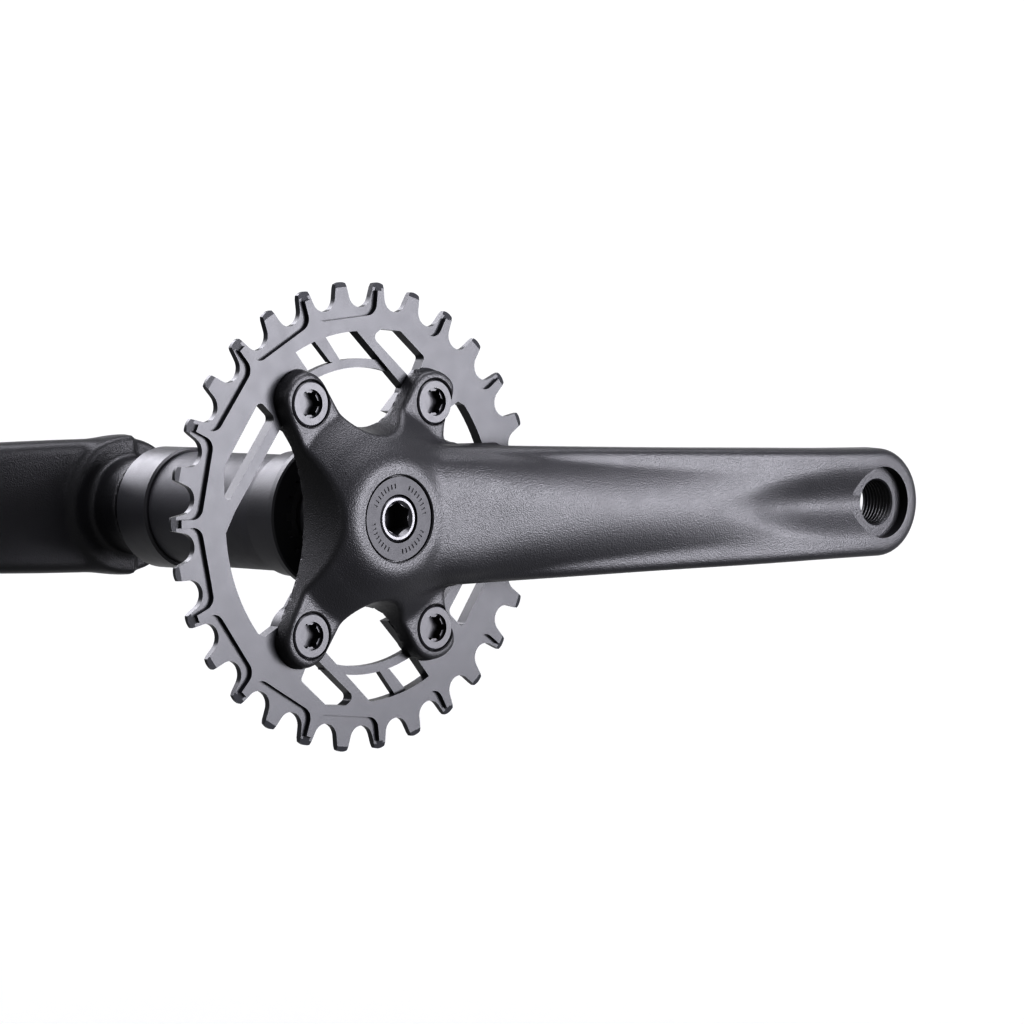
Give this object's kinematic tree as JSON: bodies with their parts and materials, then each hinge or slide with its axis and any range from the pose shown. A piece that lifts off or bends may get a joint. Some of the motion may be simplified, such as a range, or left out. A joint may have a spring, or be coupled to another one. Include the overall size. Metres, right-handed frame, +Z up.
{
  "type": "bicycle crankset",
  "caption": "Single-ring bicycle crankset: forged spider arm, left arm, narrow-wide chainring with pockets and slots, splined spindle and threaded cartridge bottom bracket.",
  "frame": {"origin": "on the spindle axis, at the middle of the bottom-bracket shell", "axes": "+X forward, along the right arm at rest; +Y to the rider's left; +Z up; chainring and right arm on -Y"},
  "size_m": [0.372, 0.174, 0.1272],
  "materials": {
    "arm_black": "satin black, fine grain",
    "ring_grey": "satin black anodised, bare metal on the narrow teeth's tips",
    "bolt_black": "satin black",
    "nut_steel": "dull zinc",
    "extractor_grey": "satin dark grey",
    "crank_bolt_black": "black with a bright rim",
    "washer_steel": "zinc",
    "spindle_steel": "ground steel",
    "tube_black": "black",
    "cup_black": "black anodised",
    "spacer_alloy": "turned",
    "bearing_steel": "polished",
    "cage_brass": "stamped",
    "seal_rubber": "matte",
    "snap_steel": "dark spring steel"
  },
  "bodies": {
    "bottom_bracket": {"cartridge_tube": "tube_black", "spacer_sleeve": "spacer_alloy", "cup_right": "cup_black", "cup_left": "cup_black", "dust_seal_right": "seal_rubber", "outer_race_right": "bearing_steel", "bearing_seal_outer_right": "seal_rubber", "bearing_seal_inner_right": "seal_rubber", "dust_seal_left": "seal_rubber", "outer_race_left": "bearing_steel", "bearing_seal_outer_left": "seal_rubber", "bearing_seal_inner_left": "seal_rubber"},
    "crankset": {"right_crank_arm": "arm_black", "left_crank_arm": "arm_black", "chainring": "ring_grey", "chainring_bolts": "bolt_black", "chainring_nuts": "nut_steel", "spindle": "spindle_steel", "crank_bolt_right": "crank_bolt_black", "bolt_washer_right": "washer_steel", "extractor_ring_right": "extractor_grey", "retaining_ring_right": "snap_steel", "inner_race_right": "bearing_steel", "crank_bolt_left": "crank_bolt_black", "bolt_washer_left": "washer_steel", "extractor_ring_left": "extractor_grey", "retaining_ring_left": "snap_steel", "inner_race_left": "bearing_steel"},
    "cage_right": {"bearing_balls_right": "bearing_steel", "ball_cage_right": "cage_brass"},
    "cage_left": {"bearing_balls_left": "bearing_steel", "ball_cage_left": "cage_brass"}
  },
  "joints": [
    {"name": "crank_spin", "type": "hinge", "parent": "bottom_bracket", "child": "crankset", "pos_m": [0, 0, 0], "axis": [0, 1, 0], "continuous": true},
    {"name": "cage_right_spin", "type": "hinge", "parent": "bottom_bracket", "child": "cage_right", "pos_m": [0, -0.028, 0], "axis": [0, 1, 0], "continuous": true},
    {"name": "cage_left_spin", "type": "hinge", "parent": "bottom_bracket", "child": "cage_left", "pos_m": [0, 0.028, 0], "axis": [0, 1, 0], "continuous": true}
  ],
  "couplings": [
    {"joint": "cage_right_spin", "follows": "crank_spin", "ratio": 0.4149},
    {"joint": "cage_left_spin", "follows": "crank_spin", "ratio": 0.4149}
  ]
}
